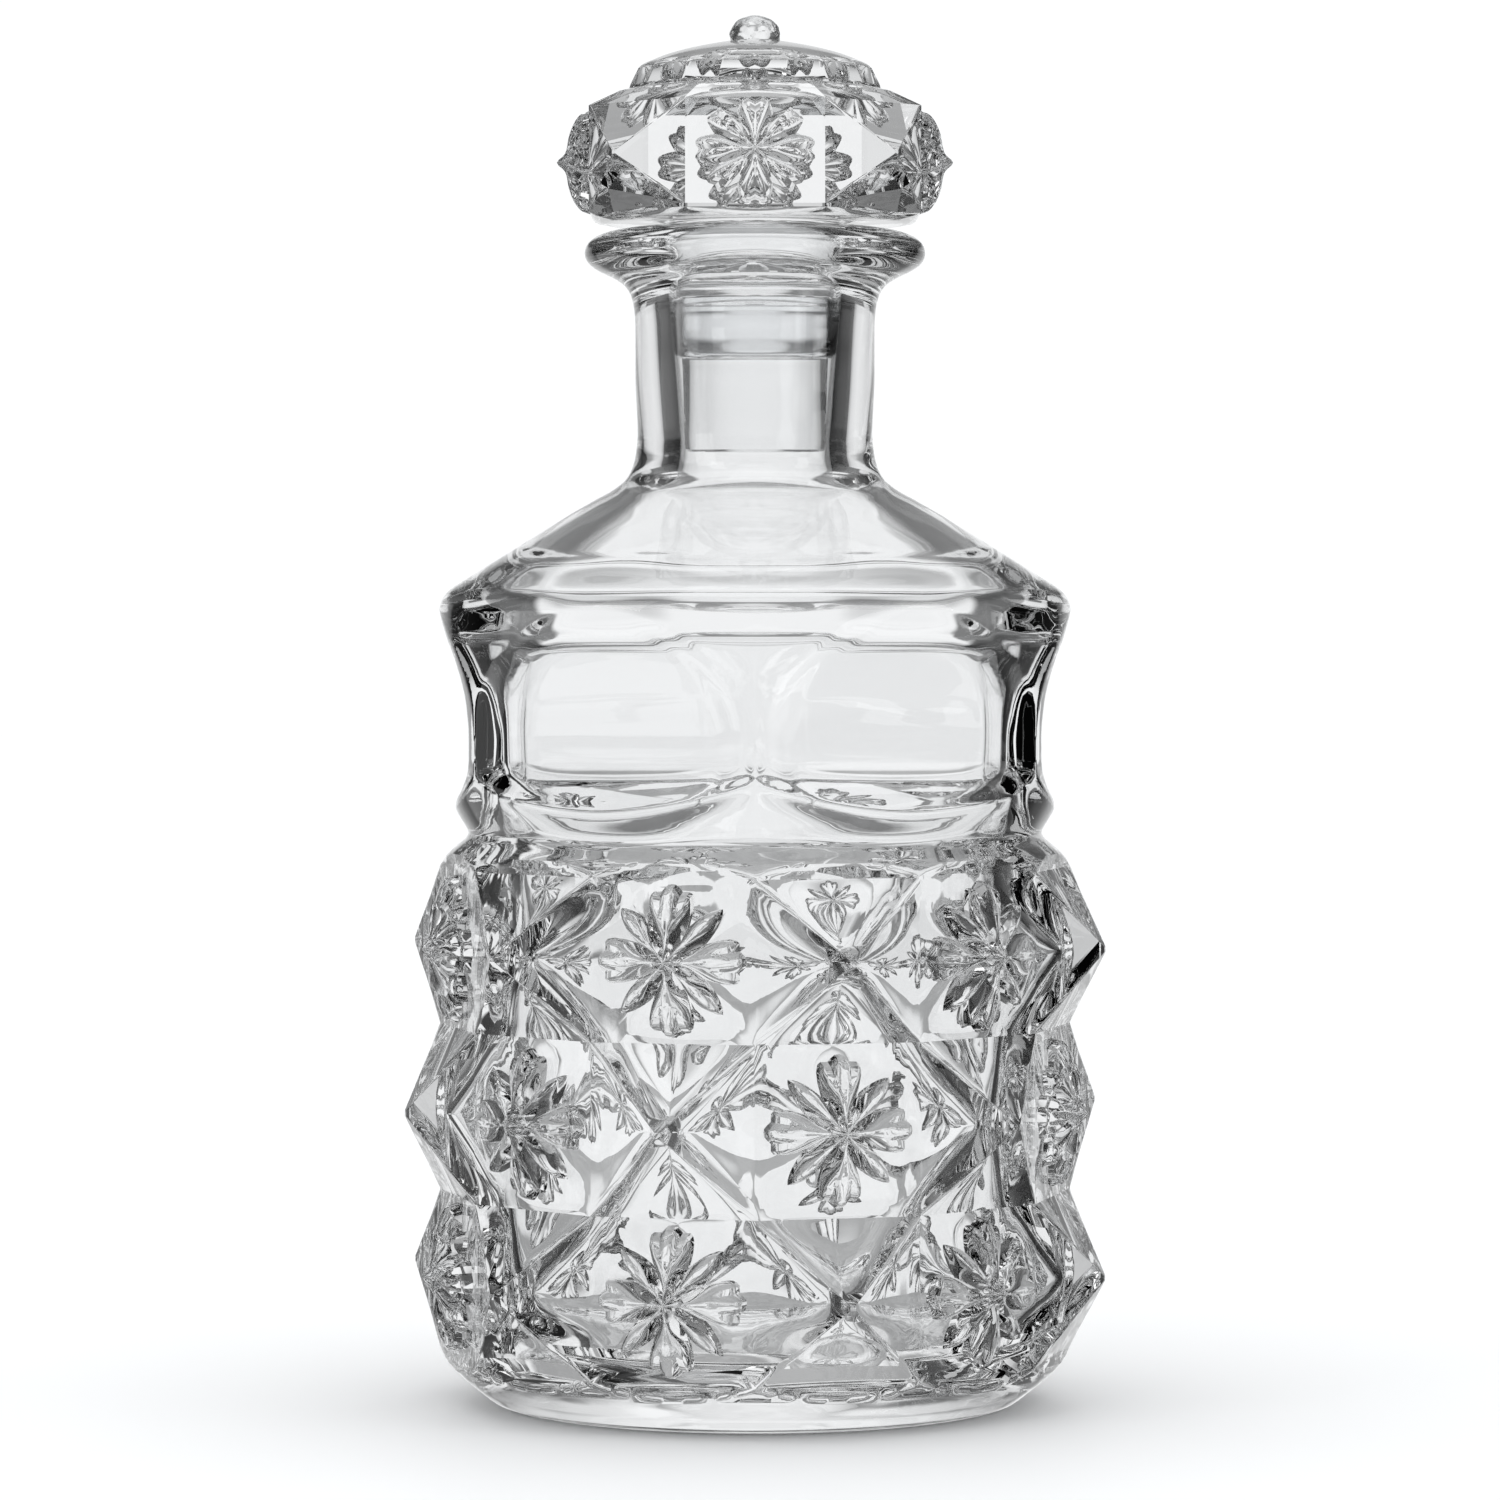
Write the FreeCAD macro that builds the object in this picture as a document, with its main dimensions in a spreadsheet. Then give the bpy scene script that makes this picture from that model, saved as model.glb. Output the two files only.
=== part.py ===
# Cut crystal decanter with a glass stopper and a clear sealing sleeve.
#
# Three separate pieces: the hollow body, the solid stopper and the sleeve that sits on the
# stopper's peg and wedges in the tapered bore.  Millimetres, +Z up, origin on the table under
# the middle of the foot.  Every driving size is a cell of the sheet "Sizes".
import FreeCAD, Part
import math
import os
import Sketcher

os.makedirs("parts", exist_ok=True)
doc = FreeCAD.newDocument("decanter")
sheet = doc.addObject("Spreadsheet::Sheet", "Sizes")
V = {}


def size(alias, value):
    """One driving dimension: a plain number in the sheet with a word for its alias."""
    row = len(V) + 1
    V[alias] = float(value)
    sheet.set("A%d" % row, alias)
    sheet.set("B%d" % row, "%.4f" % value)
    sheet.setAlias("B%d" % row, alias)


# ---------------------------------------------------------------- body: section of revolution
# (word, radius, height): the outside from the foot to the lip, then the inside back down.
SECTION = [
    ("core_foot", 45.5, 0.0),
    ("core_low", 50.5, 9.2),
    ("core_high", 50.5, 98.0),
    ("groove", 51.8, 102.6),
    ("ring_low", 54.3, 106.2),
    ("ring_high", 54.9, 108.6),
    ("band_low", 56.4, 112.0),
    ("band_high", 56.5, 136.0),
    ("edge_low", 57.1, 141.8),
    ("edge_mid", 56.6, 144.2),
    ("edge_turn", 54.5, 146.8),
    ("cone_top", 30.4, 162.0),
    ("sweep_low", 26.0, 164.2),
    ("sweep_mid", 23.2, 166.3),
    ("neck_low", 21.5, 170.4),
    ("neck_mid", 21.2, 175.0),
    ("neck_top", 21.6, 196.0),
    ("flare_low", 22.8, 200.3),
    ("flare_high", 26.4, 203.2),
    ("lip_under", 30.0, 205.3),
    ("lip_out", 30.7, 207.0),
    ("lip_over", 29.8, 209.1),
    ("lip_slope", 26.5, 210.7),
    ("lip_crown", 22.5, 211.4),
    ("lip_inner", 18.6, 210.9),
    ("mouth", 16.8, 209.3),
    ("mouth_low", 16.3, 206.0),
    ("bore_top", 15.55, 199.5),
    ("bore_end", 13.5, 173.0),
    ("throat", 13.8, 168.4),
    ("hollow_top", 17.0, 164.0),
    ("hollow_cone", 34.0, 149.2),
    ("hollow_edge", 40.8, 144.2),
    ("hollow_turn", 43.6, 138.6),
    ("hollow_waist", 43.6, 112.0),
    ("hollow_wide", 47.4, 92.0),
    ("hollow_low", 47.4, 22.0),
    ("hollow_heel", 45.0, 15.2),
    ("hollow_floor", 38.5, 11.8),
]
for word, rad, ht in SECTION:
    size(word + "_rad", rad)
    size(word + "_ht", ht)
size("floor_ht", 10.8)

# ---------------------------------------------------------------- body: twelve-sided cut block
# (word, corner radius, height) of the four twelve-sided sections it is ruled between.
BLOCK = [("block_foot", 47.9, 0.0), ("block_low", 57.0, 9.2), ("block_high", 57.0, 97.2), ("block_top", 51.9, 102.4)]
for word, rad, ht in BLOCK:
    size(word + "_rad", rad)
    size(word + "_ht", ht)
size("row_low_ht", 23.65)      # middles of the three rows
size("row_mid_ht", 53.15)
size("row_top_ht", 82.75)
size("cut_half_width", 14.3)   # a pyramid's base, half way across a column
size("cut_half_height", 14.2)
size("cut_apex_out", 64.8)
size("cut_tip", 0.45)
size("panel_depth", 54.6)      # the cuts start just under the flats (flats are at 55.06)
size("flower_reach", 12.3)
size("flower_valley", 9.7)
size("flower_dome_out", 59.6)
size("flower_dome_reach", 8.6)
size("flower_dome_valley", 6.2)
size("flower_tip_out", 62.6)
size("flower_tip_reach", 1.9)
size("flower_tip_valley", 1.4)

# ---------------------------------------------------------------- body: arched thumb cuts
SCOOP = [
    ("scoop_crown", 57.8, 144.0),
    ("scoop_high", 56.0, 139.3),
    ("scoop_upper", 54.0, 135.0),
    ("scoop_swell", 52.3, 130.3),
    ("scoop_lean", 51.2, 125.0),
    ("scoop_deep", 50.8, 120.5),
    ("scoop_base", 50.8, 115.2),
    ("scoop_rise", 51.7, 112.2),
    ("scoop_step", 53.4, 109.3),
    ("scoop_foot", 54.9, 107.5),
]
for word, rad, ht in SCOOP:
    size(word + "_rad", rad)
    size(word + "_ht", ht)
size("scoop_clear", 64.0)
size("scoop_width", 60.0)

# ---------------------------------------------------------------- stopper
STOPPER = [
    ("peg_end", 10.6, 170.6),
    ("peg_heel", 11.9, 172.2),
    ("peg_low", 13.2, 186.6),
    ("peg_seat", 13.2, 199.2),
    ("peg_step", 14.7, 199.2),
    ("peg_top", 14.9, 206.2),
    ("collar_low", 15.6, 206.8),
    ("collar_top", 15.6, 213.4),
    ("head_core_low", 24.0, 213.4),
    ("head_core_top", 24.0, 234.0),
    ("tier_foot", 21.9, 236.5),
    ("tier_low", 21.3, 239.2),
    ("tier_mid", 20.2, 240.8),
    ("tier_turn", 17.5, 242.3),
    ("tier_slope", 13.4, 244.0),
    ("tier_top", 8.6, 245.2),
    ("knob_foot", 4.5, 245.6),
    ("knob_mid", 4.4, 247.0),
    ("knob_turn", 3.2, 249.0),
    ("knob_top", 1.5, 249.85),
]
for word, rad, ht in STOPPER:
    size(word + "_rad", rad)
    size(word + "_ht", ht)
size("peg_bottom_ht", 170.2)
size("knob_crown_ht", 250.0)
HEAD = [("head_under", 28.6, 212.4), ("head_low", 32.1, 214.2), ("head_high", 32.1, 232.8), ("head_top", 23.9, 236.0)]
for word, rad, ht in HEAD:
    size(word + "_rad", rad)
    size(word + "_ht", ht)
size("head_mid_ht", 223.5)
size("head_face_depth", 29.3)   # the cuts start just under the flats (flats are at 29.66)
size("gem_half_width", 11.9)
size("gem_half_height", 9.1)
size("gem_apex_out", 35.2)
size("gem_tip", 0.4)
size("rose_reach", 9.3)
size("rose_valley", 7.6)
size("rose_dome_out", 33.2)
size("rose_dome_reach", 6.6)
size("rose_dome_valley", 5.0)
size("rose_tip_out", 35.8)
size("rose_tip_reach", 1.5)
size("rose_tip_valley", 1.1)

# ---------------------------------------------------------------- sealing sleeve
size("sleeve_low_ht", 187.7)
size("sleeve_high_ht", 199.1)
size("sleeve_bore", 13.25)
size("sleeve_low_rad", 14.58)
size("sleeve_high_rad", 15.45)
size("sleeve_heel_rad", 14.05)
size("sleeve_heel_ht", 188.5)
doc.recompute()


def cell(alias):
    return (V[alias], "Sizes." + alias)


def neg(alias):
    return (-V[alias], "-Sizes." + alias)


def around(alias, deg):
    """A point on a circle whose radius is a cell, as sketch x and y."""
    a = math.radians(deg)
    return (
        (V[alias] * math.cos(a), "Sizes.%s * cos(%g deg)" % (alias, deg)),
        (V[alias] * math.sin(a), "Sizes.%s * sin(%g deg)" % (alias, deg)),
    )


def plane(body, role):
    return [f for f in body.Origin.OriginFeatures if f.Role == role][0]


def outline(body, name, role, points):
    """A closed polygon sketch: every corner's x and y is bound to the sheet."""
    sk = body.newObject("Sketcher::SketchObject", name)
    sk.AttachmentSupport = [(plane(body, role), "")]
    sk.MapMode = "FlatFace"
    n = len(points)
    xy = [FreeCAD.Vector(p[0][0], p[1][0], 0) for p in points]
    for i in range(n):
        sk.addGeometry(Part.LineSegment(xy[i], xy[(i + 1) % n]), False)
    for i in range(n):
        sk.addConstraint(Sketcher.Constraint("Coincident", i, 2, (i + 1) % n, 1))
    for i, (px, py) in enumerate(points):
        if abs(px[0]) < 1e-9:
            sk.addConstraint(Sketcher.Constraint("PointOnObject", i, 1, -2))
        else:
            k = sk.addConstraint(Sketcher.Constraint("DistanceX", -1, 1, i, 1, px[0]))
            sk.renameConstraint(k, "px%d" % i)
            sk.setExpression("Constraints.px%d" % i, px[1])
        if abs(py[0]) < 1e-9:
            sk.addConstraint(Sketcher.Constraint("PointOnObject", i, 1, -1))
        else:
            k = sk.addConstraint(Sketcher.Constraint("DistanceY", -1, 1, i, 1, py[0]))
            sk.renameConstraint(k, "py%d" % i)
            sk.setExpression("Constraints.py%d" % i, py[1])
    return sk


def lift(sk, alias):
    """Moves a horizontal sketch up to a height in the sheet."""
    sk.setExpression("AttachmentOffset.Base.z", "Sizes." + alias)


def face_out(sk, out, height, deg):
    """Turns an upright sketch to face outwards at deg round Z, at a distance and a height."""
    sk.AttachmentOffset = FreeCAD.Placement(FreeCAD.Vector(0, 0, 0), FreeCAD.Rotation(FreeCAD.Vector(0, 1, 0), deg))
    sk.setExpression("AttachmentOffset.Base.x", "Sizes.%s * sin(%g deg)" % (out, deg))
    sk.setExpression("AttachmentOffset.Base.y", "Sizes." + height)
    sk.setExpression("AttachmentOffset.Base.z", "Sizes.%s * cos(%g deg)" % (out, deg))


def revolve(body, name, sk):
    f = body.newObject("PartDesign::Revolution", name)
    f.Profile = sk
    f.ReferenceAxis = (sk, ["V_Axis"])
    f.Angle = 360.0
    return f


def ruled_loft(body, name, sketches):
    f = body.newObject("PartDesign::AdditiveLoft", name)
    f.Profile = sketches[0]
    f.Sections = sketches[1:]
    f.Ruled = True
    f.Closed = False
    return f


def round_pattern(body, name, originals, count):
    f = body.newObject("PartDesign::PolarPattern", name)
    f.Originals = originals
    f.Axis = (plane(body, "Z_Axis"), [""])
    f.Angle = 360.0
    f.Occurrences = count
    body.Tip = f
    return f


def prism(body, name, table, sides, turn):
    """A block with flat sides, ruled between polygons at several heights."""
    rows = []
    for word, rad, ht in table:
        sk = outline(body, name + "_" + word, "XY_Plane", [around(word + "_rad", turn + 360.0 * k / sides) for k in range(sides)])
        if ht > 0:
            lift(sk, word + "_ht")
        rows.append(sk)
    return ruled_loft(body, name, rows)


def pyramid(body, name, deg, height, depth, half_w, half_h, apex, tip):
    """A four-sided cut: a rectangle under the face ruled to a tiny square at the apex."""
    base = outline(body, name + "_base", "YZ_Plane", [
        (neg(half_w), neg(half_h)), (cell(half_w), neg(half_h)), (cell(half_w), cell(half_h)), (neg(half_w), cell(half_h))])
    face_out(base, depth, height, deg)
    top = outline(body, name + "_apex", "YZ_Plane", [
        (neg(tip), neg(tip)), (cell(tip), neg(tip)), (cell(tip), cell(tip)), (neg(tip), cell(tip))])
    face_out(top, apex, height, deg)
    return ruled_loft(body, name, [base, top])


def blossom(body, name, deg, height, levels):
    """A raised flower of eight ribs: eight-pointed stars ruled outwards to a small boss."""
    rows = []
    for k, (out, reach, valley) in enumerate(levels):
        pts = [around(reach if i % 2 == 0 else valley, 22.5 * i) for i in range(16)]
        sk = outline(body, "%s_%d" % (name, k), "YZ_Plane", pts)
        face_out(sk, out, height, deg)
        rows.append(sk)
    return ruled_loft(body, name, rows)


def volume(feature):
    doc.recompute()
    return feature.Shape.Volume


# ================================================================ decanter body
glass = doc.addObject("PartDesign::Body", "decanter_body")
glass.Label = "decanter_body"
axis_low = ((0.0, ""), (0.0, ""))
ring = [axis_low] + [(cell(w + "_rad"), cell(w + "_ht")) for w, r_, z_ in SECTION] + [((0.0, ""), cell("floor_ht"))]
section = outline(glass, "glass_section", "XZ_Plane", ring)
vessel = revolve(glass, "vessel", section)
v0 = volume(vessel)
block = prism(glass, "cut_block", BLOCK, 12, 0.0)
v1 = volume(block)
print("vessel %.1f cm3, with the twelve-sided block %.1f cm3" % (v0 / 1000, v1 / 1000))
assert v1 > v0

# the inside is hollowed again where the solid block crossed it
hollow_words = ["throat", "hollow_top", "hollow_cone", "hollow_edge", "hollow_turn", "hollow_waist", "hollow_wide", "hollow_low", "hollow_heel", "hollow_floor"]
cavity_section = outline(glass, "cavity_section", "XZ_Plane",
                         [((0.0, ""), cell("throat_ht"))] + [(cell(w + "_rad"), cell(w + "_ht")) for w in hollow_words] + [((0.0, ""), cell("floor_ht"))])
cavity = glass.newObject("PartDesign::Groove", "cavity")
cavity.Profile = cavity_section
cavity.ReferenceAxis = (cavity_section, ["V_Axis"])
cavity.Angle = 360.0
v2 = volume(cavity)
print("after the hollow %.1f cm3" % (v2 / 1000))
assert v2 < v1 - 1000

# six arched thumb cuts round the upper band; the first faces +X
scoop_section = outline(glass, "scoop_section", "XZ_Plane",
                        [(cell(w + "_rad"), cell(w + "_ht")) for w, r_, z_ in SCOOP]
                        + [(cell("scoop_clear"), cell("scoop_foot_ht")), (cell("scoop_clear"), cell("scoop_crown_ht"))])
scoop = glass.newObject("PartDesign::Pocket", "thumb_cut")
scoop.Profile = scoop_section
scoop.Type = "Length"
if "SideType" in scoop.PropertiesList:
    scoop.SideType = "Symmetric"
else:
    scoop.Midplane = True
scoop.setExpression("Length", "Sizes.scoop_width")
v3 = volume(scoop)
scoops = round_pattern(glass, "thumb_cuts", [scoop], 6)
v4 = volume(scoops)
print("one thumb cut takes %.2f cm3, six take %.2f cm3" % ((v2 - v3) / 1000, (v2 - v4) / 1000))
assert v3 < v2 - 100 and abs((v2 - v4) - 6 * (v2 - v3)) < 0.02 * (v2 - v4)

# three rows of twelve: pyramids and flowers alternate round each row, and from row to row
flower_levels = [("panel_depth", "flower_reach", "flower_valley"),
                 ("flower_dome_out", "flower_dome_reach", "flower_dome_valley"),
                 ("flower_tip_out", "flower_tip_reach", "flower_tip_valley")]
cuts = []
for row, height, gem_deg, bloom_deg in (("low", "row_low_ht", -15, 15), ("mid", "row_mid_ht", 15, -15), ("top", "row_top_ht", -15, 15)):
    cuts.append(pyramid(glass, "gem_" + row, gem_deg, height, "panel_depth", "cut_half_width", "cut_half_height", "cut_apex_out", "cut_tip"))
    cuts.append(blossom(glass, "bloom_" + row, bloom_deg, height, flower_levels))
v5 = volume(cuts[-1])
pattern = round_pattern(glass, "cut_pattern", cuts, 6)
v6 = volume(pattern)
print("one sixth of the pattern adds %.2f cm3, all of it %.2f cm3" % ((v5 - v4) / 1000, (v6 - v4) / 1000))
assert v5 > v4 and abs((v6 - v4) - 6 * (v5 - v4)) < 0.02 * (v6 - v4)
glass.Tip = pattern

# ================================================================ stopper
stopper = doc.addObject("PartDesign::Body", "stopper")
stopper.Label = "stopper"
stopper_ring = [((0.0, ""), cell("peg_bottom_ht"))] + [(cell(w + "_rad"), cell(w + "_ht")) for w, r_, z_ in STOPPER] + [((0.0, ""), cell("knob_crown_ht"))]
stopper_section = outline(stopper, "stopper_section", "XZ_Plane", stopper_ring)
core = revolve(stopper, "stopper_core", stopper_section)
s0 = volume(core)
head = prism(stopper, "eight_sided_head", HEAD, 8, 22.5)
s1 = volume(head)
assert s1 > s0
gem = pyramid(stopper, "head_gem", 45, "head_mid_ht", "head_face_depth", "gem_half_width", "gem_half_height", "gem_apex_out", "gem_tip")
rose = blossom(stopper, "head_bloom", 0, "head_mid_ht", [
    ("head_face_depth", "rose_reach", "rose_valley"), ("rose_dome_out", "rose_dome_reach", "rose_dome_valley"), ("rose_tip_out", "rose_tip_reach", "rose_tip_valley")])
s2 = volume(rose)
faces = round_pattern(stopper, "head_cuts", [gem, rose], 4)
s3 = volume(faces)
print("stopper %.1f cm3, one pair of cuts adds %.2f, four pairs %.2f cm3" % (s3 / 1000, (s2 - s1) / 1000, (s3 - s1) / 1000))
assert s2 > s1 and abs((s3 - s1) - 4 * (s2 - s1)) < 0.02 * (s3 - s1)
stopper.Tip = faces

# ================================================================ sealing sleeve
seal = doc.addObject("PartDesign::Body", "stopper_seal")
seal.Label = "stopper_seal"
sleeve_section = outline(seal, "sleeve_section", "XZ_Plane", [
    (cell("sleeve_bore"), cell("sleeve_low_ht")),
    (cell("sleeve_heel_rad"), cell("sleeve_low_ht")),
    (cell("sleeve_low_rad"), cell("sleeve_heel_ht")),
    (cell("sleeve_high_rad"), cell("sleeve_high_ht")),
    (cell("sleeve_bore"), cell("sleeve_high_ht"))])
sleeve = revolve(seal, "sleeve", sleeve_section)
doc.recompute()

# ================================================================ checks and export
pieces = [glass, stopper, seal]
for piece in pieces:
    piece.Placement = FreeCAD.Placement(FreeCAD.Vector(0, 0, 0), FreeCAD.Rotation(FreeCAD.Vector(0, 0, 1), 0))
doc.recompute()
for obj in doc.Objects:
    bad = [s for s in obj.State if s in ("Invalid", "Error")]
    if bad:
        raise RuntimeError("%s is %s" % (obj.Name, ",".join(bad)))
for piece in pieces:
    shape = piece.Shape
    if shape.isNull() or not shape.isValid() or len(shape.Solids) != 1:
        raise RuntimeError("%s: null %s, valid %s, solids %d" % (piece.Label, shape.isNull(), shape.isValid(), len(shape.Solids)))
    bb = shape.BoundBox
    print("%s: %.1f cm3, x %.2f..%.2f y %.2f..%.2f z %.2f..%.2f, %d faces" % (
        piece.Label, shape.Volume / 1000, bb.XMin, bb.XMax, bb.YMin, bb.YMax, bb.ZMin, bb.ZMax, len(shape.Faces)))
for a in range(3):
    for b in range(a + 1, 3):
        common = pieces[a].Shape.common(pieces[b].Shape).Volume
        print("%s and %s share %.4f mm3" % (pieces[a].Label, pieces[b].Label, common))
        if common > 0.01:
            raise RuntimeError("%s overlaps %s" % (pieces[a].Label, pieces[b].Label))
for piece in pieces:
    piece.Shape.exportStep("parts/%s.step" % piece.Label)
print("wrote", ", ".join(piece.Label for piece in pieces))
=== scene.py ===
# Cut crystal decanter: the visual model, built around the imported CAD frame.
import math

import bpy
import numpy as np
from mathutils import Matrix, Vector


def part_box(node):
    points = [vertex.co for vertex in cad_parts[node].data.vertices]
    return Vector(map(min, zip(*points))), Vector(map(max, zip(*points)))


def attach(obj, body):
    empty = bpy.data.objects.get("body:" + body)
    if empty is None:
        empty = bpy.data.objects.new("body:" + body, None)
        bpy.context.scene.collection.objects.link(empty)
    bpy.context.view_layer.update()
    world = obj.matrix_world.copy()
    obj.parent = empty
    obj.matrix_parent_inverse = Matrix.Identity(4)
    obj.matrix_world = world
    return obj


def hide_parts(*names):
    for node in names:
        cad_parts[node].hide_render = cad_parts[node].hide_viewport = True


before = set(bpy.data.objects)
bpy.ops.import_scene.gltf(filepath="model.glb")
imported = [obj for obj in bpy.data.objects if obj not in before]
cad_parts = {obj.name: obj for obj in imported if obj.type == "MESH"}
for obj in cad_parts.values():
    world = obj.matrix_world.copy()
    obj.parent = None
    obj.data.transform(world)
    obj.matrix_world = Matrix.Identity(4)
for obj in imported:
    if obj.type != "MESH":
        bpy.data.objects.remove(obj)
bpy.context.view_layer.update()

MM = 0.001

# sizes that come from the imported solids
body_lo, body_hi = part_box("decanter_body")
stop_lo, stop_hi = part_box("stopper")
seal_lo, seal_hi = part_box("stopper_seal")
HALF_X = body_hi.x / MM                  # pyramid points stand at 15 degrees to the X and Y axes
APEX = (HALF_X - 0.35) / math.cos(math.radians(15.0)) - 0.05
LIP_TOP = body_hi.z / MM
KNOB_TOP = stop_hi.z / MM
PEG_END = stop_lo.z / MM
HEAD_OUT = stop_hi.x / MM
SLEEVE_LOW = seal_lo.z / MM
SLEEVE_HIGH = seal_hi.z / MM


def smoothstep(a, b, x):
    t = np.clip((np.asarray(x, float) - a) / (b - a), 0.0, 1.0)
    return t * t * (3.0 - 2.0 * t)


def soft_min(a, b, k):
    return 0.5 * (a + b - np.sqrt((a - b) ** 2 + k * k))


def curve(points, per=4):
    """A smooth line through (radius, height) points; a point given as (r, z, 0) stays a sharp corner."""
    pts = [np.array(p[:2], float) for p in points]
    sharp = [len(p) > 2 for p in points]
    out = [pts[0]]
    for i in range(len(pts) - 1):
        p1, p2 = pts[i], pts[i + 1]
        p0 = pts[i - 1] if i > 0 and not sharp[i] else p1 - (p2 - p1)
        p3 = pts[i + 2] if i + 2 < len(pts) and not sharp[i + 1] else p2 + (p2 - p1)
        d01 = max(np.linalg.norm(p1 - p0), 1e-6) ** 0.5
        d12 = max(np.linalg.norm(p2 - p1), 1e-6) ** 0.5
        d23 = max(np.linalg.norm(p3 - p2), 1e-6) ** 0.5
        m1 = (p2 - p1) + d12 * ((p1 - p0) / d01 - (p2 - p0) / (d01 + d12))
        m2 = (p2 - p1) + d12 * ((p3 - p2) / d23 - (p3 - p1) / (d12 + d23))
        steps = per if not isinstance(per, (list, tuple)) else per[i]
        for j in range(1, steps + 1):
            t = j / steps
            out.append((2 * t**3 - 3 * t**2 + 1) * p1 + (t**3 - 2 * t**2 + t) * m1 + (-2 * t**3 + 3 * t**2) * p2 + (t**3 - t**2) * m2)
    return out


class Skin:
    """A closed surface put together ring by ring. Angles run from the front (-Y) towards +X."""

    def __init__(self):
        self.v, self.f = [], []

    def add(self, pts):
        start = len(self.v)
        self.v.extend(tuple(float(c) for c in p) for p in pts)
        return list(range(start, len(self.v)))

    def ring(self, angles, radius, height):
        n = len(angles)
        radius = np.broadcast_to(radius, (n,))
        height = np.broadcast_to(height, (n,))
        return self.add(zip(radius * np.sin(angles), -radius * np.cos(angles), height))

    def strip(self, a, b):
        n = len(a)
        for i in range(n):
            j = (i + 1) % n
            self.f.append((a[i], a[j], b[j], b[i]))

    def halve(self, a, b):
        """a has twice as many points as b."""
        n = len(b)
        for i in range(n):
            p, q, r = a[2 * i], a[2 * i + 1], a[(2 * i + 2) % len(a)]
            s, t = b[i], b[(i + 1) % n]
            self.f.append((p, q, s))
            self.f.append((q, r, t, s))

    def fan(self, a, centre):
        n = len(a)
        for i in range(n):
            self.f.append((a[i], a[(i + 1) % n], centre))

    def start_fan(self, centre, a):
        n = len(a)
        for i in range(n):
            self.f.append((centre, a[(i + 1) % n], a[i]))

    def mesh(self, name, sharp_deg):
        me = bpy.data.meshes.new(name)
        me.from_pydata([(x * MM, y * MM, z * MM) for x, y, z in self.v], [], self.f)
        me.validate()
        me.update()
        me.polygons.foreach_set("use_smooth", [True] * len(me.polygons))
        me.set_sharp_from_angle(angle=math.radians(sharp_deg))
        obj = bpy.data.objects.new(name, me)
        bpy.context.scene.collection.objects.link(obj)
        return obj


# ---------------------------------------------------------------- how a cut cell is divided
STEP_DEG = [-45.0, -43.6] + [float(d) for d in range(-42, 43, 3)] + [43.6, 45.0]
U = np.tan(np.radians(STEP_DEG))          # positions along a cell's edge, -1 to 1
N = len(U) - 1                            # steps along an edge


def loop_uv():
    """The edge of a cell, anticlockwise as seen from outside, from the lower left corner."""
    pts = [(u, -1.0) for u in U[:-1]] + [(1.0, v) for v in U[:-1]] + [(u, 1.0) for u in U[:0:-1]] + [(-1.0, v) for v in U[:0:-1]]
    return np.array(pts)


LOOP = loop_uv()
LOOP_DEG = np.degrees(np.arctan2(LOOP[:, 1], LOOP[:, 0]))


def petal_outline(deg, table_main, table_leaf):
    """Radius of the flower's edge for each direction: four wide petals with lobed tips, four slim ones between."""
    half = table_main[0][-1]
    out = np.zeros(len(deg))
    for i, d in enumerate(deg):
        m = (d + 45.0) % 90.0 - 45.0
        if abs(m) <= half + 1e-6:
            out[i] = np.interp(abs(m), table_main[0], table_main[1])
        else:
            out[i] = np.interp(45.0 - abs(m), table_leaf[0], table_leaf[1])
    return out


BODY_MAIN = ([0, 3, 6, 9, 12, 15, 18, 21, 24, 27], [12.9, 12.8, 12.3, 11.75, 11.85, 12.0, 11.7, 10.6, 8.7, 6.4])
BODY_LEAF = ([0, 3, 6, 9, 12, 15, 18], [12.4, 11.7, 10.7, 9.6, 8.5, 7.4, 6.4])


def flower_relief(t, deg, half, tip, crown, edge, lobe_at, groove, deep):
    """Height of the flower at t (0 centre, 1 edge) in each direction: a low dome split by valleys, a point in the middle."""
    m = (deg + 45.0) % 90.0 - 45.0
    am = np.abs(m)
    dome = edge + (crown - edge) * (1.0 - t ** 2.2) ** 0.6 + (tip - crown) * math.exp(-(t / 0.13) ** 2)
    is_main = am <= half + 1e-6
    v = np.where(is_main, am / half, (45.0 - am) / (45.0 - half))
    sharp = 1.6 + 1.6 * t
    valley = 0.35 + (dome - 0.35) * (1.0 - deep * float(smoothstep(0.02, 0.30, t)))
    h = valley + (dome - valley) * (1.0 - np.clip(v, 0, 1) ** sharp)
    cut = np.exp(-((am - lobe_at) / 3.2) ** 2) * groove * float(smoothstep(0.62, 1.0, t)) * is_main
    mid = np.exp(-(np.where(is_main, am, 45.0 - am) / 2.6) ** 2) * 0.22 * float(smoothstep(0.2, 0.4, t)) * (1.0 - float(smoothstep(0.55, 0.85, t)))
    return h - cut - mid


RELIEF_T = [1.0, 0.985, 0.955, 0.91, 0.84, 0.765, 0.685, 0.60, 0.515, 0.43, 0.345, 0.265, 0.19, 0.12, 0.06]


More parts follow.
